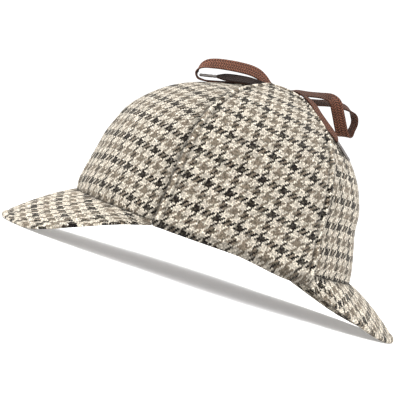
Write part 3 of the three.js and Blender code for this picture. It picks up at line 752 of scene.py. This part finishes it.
# ---------------------------------------------------------------- peaks
RIM_FRONT = [
    [0, 1.6], [10, 1.1], [20, 0.67], [28, 0.67], [36, 2.0], [45, 6.3], [52, 10.7], [60, 15.9],
    [68, 21.4], [75, 25.9], [82, 29.6], [88, 31.7],
]
RIM_REAR = [
    [0, 2.1], [10, 1.4], [20, 0.70], [30, 0.70], [36, 1.3], [45, 3.1], [52, 5.4], [60, 8.9],
    [68, 12.9], [75, 16.8], [82, 21.4], [88, 26.0],
]


def peak_point(t, w, way):
    """Middle of the peak's thickness: t along it, w from the seam (0) to the rim (1)."""
    base = crown_point(t if way > 0 else 180 - t, np.zeros_like(t))
    nrm = unit(np.stack([base[..., 0] / CROWN_A**2, base[..., 1] / CROWN_B**2, 0 * base[..., 0]], -1))
    inside = base - nrm * WALL
    inside[..., 2] = base[..., 2] - 0.34 - PEAK_THICK / 2
    start = base + nrm * 0.5
    start[..., 2] = inside[..., 2] - 0.1
    phi = t * (88 / PEAK_T)
    c = np.abs(np.cos(np.radians(phi)))
    s = np.sin(np.radians(phi))
    rim = np.stack([
        -way * (56 + (PEAK_LENGTH - 56) * c**0.96),
        -np.where(s == 0, 1, np.sign(s)) * np.abs(73.6 * s),
        table(RIM_FRONT if way > 0 else RIM_REAR, np.abs(phi)),
    ], -1)
    corner = base + nrm * 1.2
    end = smooth((np.abs(phi) - 74) / 14)[..., None]
    rim[..., :2] = rim[..., :2] * (1 - end) + corner[..., :2] * end
    ww = np.clip(w, 0, 1)[..., None]
    p = start * (1 - ww) + rim * ww
    p[..., 2] += 2.6 * np.sin(math.pi * ww[..., 0] ** 0.9) * c
    back_in = np.clip(-w, 0, 1)[..., None]
    return np.where(w[..., None] < 0, start * (1 - back_in) + inside * back_in, p)


def peak(name, way, sweep, heart, ease):
    cols = 170
    w = np.concatenate([np.linspace(-1, 0, 5)[:-1], np.linspace(0, 0.9, 40)[:-1], 1 - 0.1 * (1 - np.linspace(0, 1, 16)) ** 1.7])[:, None]
    t = ((eased(cols, 0.3) * 2 - 1) * PEAK_T)[None, :]
    t, w = np.broadcast_arrays(t, w)
    mid = peak_point(t, w, way)
    dt = peak_point(np.minimum(t + 0.3, PEAK_T), w, way) - peak_point(np.maximum(t - 0.3, -PEAK_T), w, way)
    dw = peak_point(t, np.clip(np.where(w < 0, w + 0.3, w + 0.02), -1, 1), way) - peak_point(t, np.clip(np.where(w < 0, w, w - 0.02), -1, 1), way)
    n = unit(np.cross(dt, dw))
    n = np.where(n[..., 2:] < 0, -n, n)
    n = np.where(w[..., None] <= 0, np.array([0, 0, 1.0]), n)
    for _ in range(6):
        n[1:-1] = (n[:-2] + 2 * n[1:-1] + n[2:]) / 4
    n = unit(n)
    mid[..., 2] += (0.25 if way > 0 else 0.05) * (1 - smooth(w / 0.08))
    run = climbed(mid)
    d_rim = run[-1:] - run
    long = climbed(mid, 1)
    d_end = np.minimum(long, long[:, -1:] - long)
    rim_d = np.minimum(d_rim, d_end + 0 * d_rim)
    fade = edge_fade(d_rim, 2.1) * edge_fade(d_end, 0.6) * edge_fade(run, 0.6)
    # turned edge: a soft groove where it is stitched, and a fuller roll outside it
    groove = 0.6 * np.exp(-(((d_rim - 6.0) / 1.0) ** 2)) * smooth(d_end / 8)
    roll = 0.25 * np.exp(-(((d_rim - 3.2) / 1.6) ** 2)) * smooth(d_end / 8)
    ripple = 0.16 * wave_noise(mid[..., 0], mid[..., 1], 5 + way, 30)
    half = PEAK_THICK / 2
    mid_s = mid + n * (ripple * smooth(d_rim / 8) * smooth(run / 5))[..., None]
    outer = mid_s + n * (half * fade - groove + roll)[..., None]
    inner = mid_s - n * (half * fade - 0.4 * groove)[..., None]
    for g in (outer, inner):
        g[..., 2] = np.maximum(g[..., 2], 0.02)
    # rows of the check lie across the peak
    x, y = mid[..., 0], mid[..., 1]
    xs = np.linspace(60, PEAK_LENGTH, 300)
    tt, wc = np.zeros(300), np.linspace(0, 1, 300)
    centre = peak_point(tt, wc, way)
    path = climbed(centre)
    x0 = np.abs(x) + sweep * y**2
    v = np.interp(x0, np.abs(centre[:, 0]), path) + np.minimum(x0 - np.abs(centre[0, 0]), 0) + np.maximum(x0 - np.abs(centre[-1, 0]), 0)
    uu = y + np.sign(y) * 0.35 * np.maximum(np.abs(y) - 20, 0)
    # the last of the rim turns upwards and its cloth goes with it
    phi = np.abs(t) * 88 / PEAK_T
    rims = RIM_FRONT if way > 0 else RIM_REAR
    uu += np.sign(y) * np.maximum(table(rims, phi) - table(rims, 64.0), 0) * np.clip(w, 0, 1) ** 2
    u = -uu if way > 0 else uu
    uv = np.stack(laid(-u, v, heart, ease, 1.5), -1)
    # painted shade in the stitched groove, broken at each stitch, and along the seam to the crown; the whole peak is
    # painted a fifth lighter as painted light
    stitch = 0.75 + 0.25 * np.sin(long * 2 * math.pi / 3.2)
    painted_light_and_shade = 0.32 * np.exp(-(((d_rim - 6.0) / 0.9) ** 2)) * stitch * smooth(d_end / 8)
    painted_light_and_shade = np.maximum(painted_light_and_shade, 0.5 * np.exp(-((run / 4.6) ** 4))) - 0.2
    obj = slab(name + "_cloth", outer, inner, uv, uv, [TWEED], painted_light_and_shade)
    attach(obj, "root")
    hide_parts(name)


peak("front_peak", 1, 0.0020, (-50.5, 11.7),
     [-1.99, 11.74, -5.67, -1.8, 3.33, -1.13, 8.86, 1.69, -0.97, -3.18])
peak("rear_peak", -1, 0.0054, (67.8, 11.7),
     [8.29, 5.68, 2.47, -1.68, 2.01, -1.54, -0.57, -1.33, -0.26, 0.92])

# ---------------------------------------------------------------- ear flaps
FLAP_K = [1, 2, 3.5, 5, 6.5, 8, 9, 10, 11, 12, 13, 14, 15, 15.25]


def flap_grid(v):
    """Rows of the flap's two faces from the inner edge of its fold to its tip."""
    outer, inner = [], []
    sag = 1 + 1.45 * smooth((v - 0.45) / 0.42) * (1 - 0.3 * smooth((v - 0.88) / 0.12))
    t = FLAP_T0 + (FLAP_T1 - FLAP_T0) * v
    b = crown_point(t, np.zeros_like(t))
    n = unit(np.stack([b[:, 0] / CROWN_A**2, b[:, 1] / CROWN_B**2, 0 * b[:, 0]], -1))
    for o, i in [((-1.9, 2.5), (-1.9, 0.45)), ((0.2, 3.6), (0.1, 0.6)), ((2.4, 3.4), (0.8, 0.6)), ((3.9, 1.6), (1.1, 0.2))]:
        for (out, drop), store in ((o, outer), (i, inner)):
            p = b + n * out
            p[:, 2] -= drop * (sag if drop > 1 else 1)
            store.append(p)
    for k in FLAP_K:
        t = table(FLAP, k, 1) * (1 - v) + table(FLAP, k, 2) * v
        lo, mi, hi = (table(FLAP, k, c) for c in (3, 4, 5))
        off = np.where(v < 0.5, lo + (mi - lo) * smooth(v * 2), mi + (hi - mi) * smooth(v * 2 - 1))
        kk = np.full_like(t, k)
        p, n = crown_point(t, kk), crown_normal(t, kk)
        outer.append(p + n * (off + FLAP_STAND + FLAP_THICK)[:, None])
        inner.append(p + n * (off + FLAP_STAND)[:, None])
    return np.array(outer), np.array(inner)


def flow(rows, n):
    """Curves through the rows with even steps along the middle one."""
    d = np.linalg.norm(np.diff(rows[:, rows.shape[1] // 2], axis=0), axis=-1)
    at = np.concatenate([[0], np.cumsum(d)])
    return at, np.concatenate([np.linspace(0, at[4], 24)[:-1], np.linspace(at[4], at[-1], n)])


def hermite(at, rows, x):
    """Smooth curve through unevenly spaced rows."""
    m = np.zeros_like(rows)
    dx = np.diff(at)
    sl = np.diff(rows, axis=0) / dx[:, None, None]
    m[1:-1] = (sl[:-1] * dx[1:, None, None] + sl[1:] * dx[:-1, None, None]) / (dx[1:] + dx[:-1])[:, None, None]
    m[0], m[-1] = sl[0], sl[-1]
    i = np.clip(np.searchsorted(at, x, "right") - 1, 0, len(at) - 2)
    f = ((x - at[i]) / dx[i])[:, None, None]
    hx = dx[i][:, None, None]
    return (
        (2 * f**3 - 3 * f**2 + 1) * rows[i] + (f**3 - 2 * f**2 + f) * hx * m[i]
        + (-2 * f**3 + 3 * f**2) * rows[i + 1] + (f**3 - f**2) * hx * m[i + 1]
    )


FLAP_TILT = 7.0
FLAP_EASE = (-5.8, 45.7), [9.84, 16.68, -1.13, 0.09, 0.55, 0.00, 0.57, 0.27, -0.89, 0.25]


def ear_flap(name, mirror):
    v = eased(110, 0.55)
    out, inn = flap_grid(v)
    at, x = flow(out, 120)
    # the last row falls off to the tip in one even curve
    o, i = hermite(at, out, x), hermite(at, inn, x)
    mid, half_v = (o + i) / 2, (o - i) / 2
    half = np.linalg.norm(half_v, axis=-1, keepdims=True)
    n = half_v / half
    run = climbed(mid)
    across = climbed(mid, 1)
    d_side = np.minimum(across, across[:, -1:] - across)
    d_top = run[-1:] - run
    d = np.minimum(d_side, d_top)
    fade = edge_fade(d_side, 0.7 + 1.3 * smooth(run / 20)) * edge_fade(d_top, 2.0) * edge_fade(run, 1.0)
    groove = 0.95 * np.exp(-(((d - 5.8) / 1.1) ** 2)) * smooth(run / 14)
    roll = 0.7 * np.exp(-(((d - 2.9) / 1.5) ** 2)) * smooth(run / 14)
    ripple = 0.34 * wave_noise(across, run, 21, 46) * smooth(d / 10) * smooth(run / 20)
    o = mid + n * ((half[..., 0] * fade) - groove + roll + ripple)[..., None]
    i = mid - n * (half[..., 0] * fade)[..., None]
    # cloth coordinates: across and up the flap
    r = np.hypot(mid[..., 0] / CROWN_A, mid[..., 1] / CROWN_B)
    t = np.degrees(np.arctan2(-mid[..., 1] / CROWN_B, -mid[..., 0] / CROWN_A))
    a = arc_from(t, 88) * np.minimum(r, 1.03)
    climb = run - run[16:17]
    u, w = turned(a, climb, FLAP_TILT)
    uv = np.stack(laid(u, w, *FLAP_EASE), -1)
    if mirror:
        o[..., 1] *= -1
        i[..., 1] *= -1
        uv[..., 0] *= -1
    # painted shade in the stitched groove, broken at each stitch, along the flap's edges and in its fold; the roll of
    # the turned edge is painted lighter, as a highlight
    stitch = 0.7 + 0.3 * np.sin(np.where(d_side < d_top, run, across) * 2 * math.pi / 3.2)
    painted_light_and_shade = 0.8 * np.exp(-(((d - 5.8) / 1.05) ** 2)) * stitch * smooth(run / 14)
    painted_light_and_shade = np.maximum(painted_light_and_shade, 0.88 * np.exp(-((d / 1.5) ** 2)))
    painted_light_and_shade = np.maximum(painted_light_and_shade, 0.5 * (1 - smooth((run - 7) / 3)))
    painted_light_and_shade = painted_light_and_shade - 0.3 * np.exp(-(((d - 3.2) / 1.2) ** 2)) * smooth(run / 14)
    obj = slab(name + "_cloth", o, i, uv, uv, [TWEED], painted_light_and_shade)
    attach(obj, "root")
    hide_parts(name)
    flat, area = cut_size(mid)


ear_flap("ear_flap_left", False)
ear_flap("ear_flap_right", True)

# ---------------------------------------------------------------- stage
floor_mesh = bpy.data.meshes.new("floor")
floor_mesh.from_pydata([(-12, -12, 0), (12, -12, 0), (12, 12, 0), (-12, 12, 0)], [], [(0, 1, 2, 3)])
floor = bpy.data.objects.new("floor", floor_mesh)
bpy.context.scene.collection.objects.link(floor)
pale = bpy.data.materials.new("pale_floor")
pale.use_nodes = True
pale.node_tree.nodes["Principled BSDF"].inputs["Base Color"].default_value = (0.92, 0.92, 0.92, 1)
pale.node_tree.nodes["Principled BSDF"].inputs["Roughness"].default_value = 0.9
pale.node_tree.nodes["Principled BSDF"].inputs["Emission Color"].default_value = (1, 1, 1, 1)
pale.node_tree.nodes["Principled BSDF"].inputs["Emission Strength"].default_value = 0.28
floor_mesh.materials.append(pale)

world = bpy.data.worlds.new("studio")
bpy.context.scene.world = world
world.use_nodes = True
world.node_tree.nodes["Background"].inputs["Color"].default_value = (1, 1, 1, 1)
world.node_tree.nodes["Background"].inputs["Strength"].default_value = 1.13


def softbox(name, place, aim, size, power):
    data = bpy.data.lights.new(name, "AREA")
    data.shape = "RECTANGLE"
    data.size, data.size_y = size
    data.energy = power
    obj = bpy.data.objects.new(name, data)
    bpy.context.scene.collection.objects.link(obj)
    obj.location = place
    obj.rotation_mode = "QUATERNION"
    obj.rotation_quaternion = (Vector(aim) - Vector(place)).to_track_quat("-Z", "Y")


softbox("top", (-0.25, 0.15, 1.5), (0, 0, 0.08), (1.4, 1.2), 20)
softbox("left", (-1.5, -0.1, 0.7), (0, 0, 0.08), (1.0, 1.0), 6)
softbox("right", (1.5, 0.2, 0.7), (0, 0, 0.08), (1.0, 1.0), 6)

bpy.context.scene.view_settings.view_transform = "Standard"
bpy.context.scene.view_settings.look = "None"
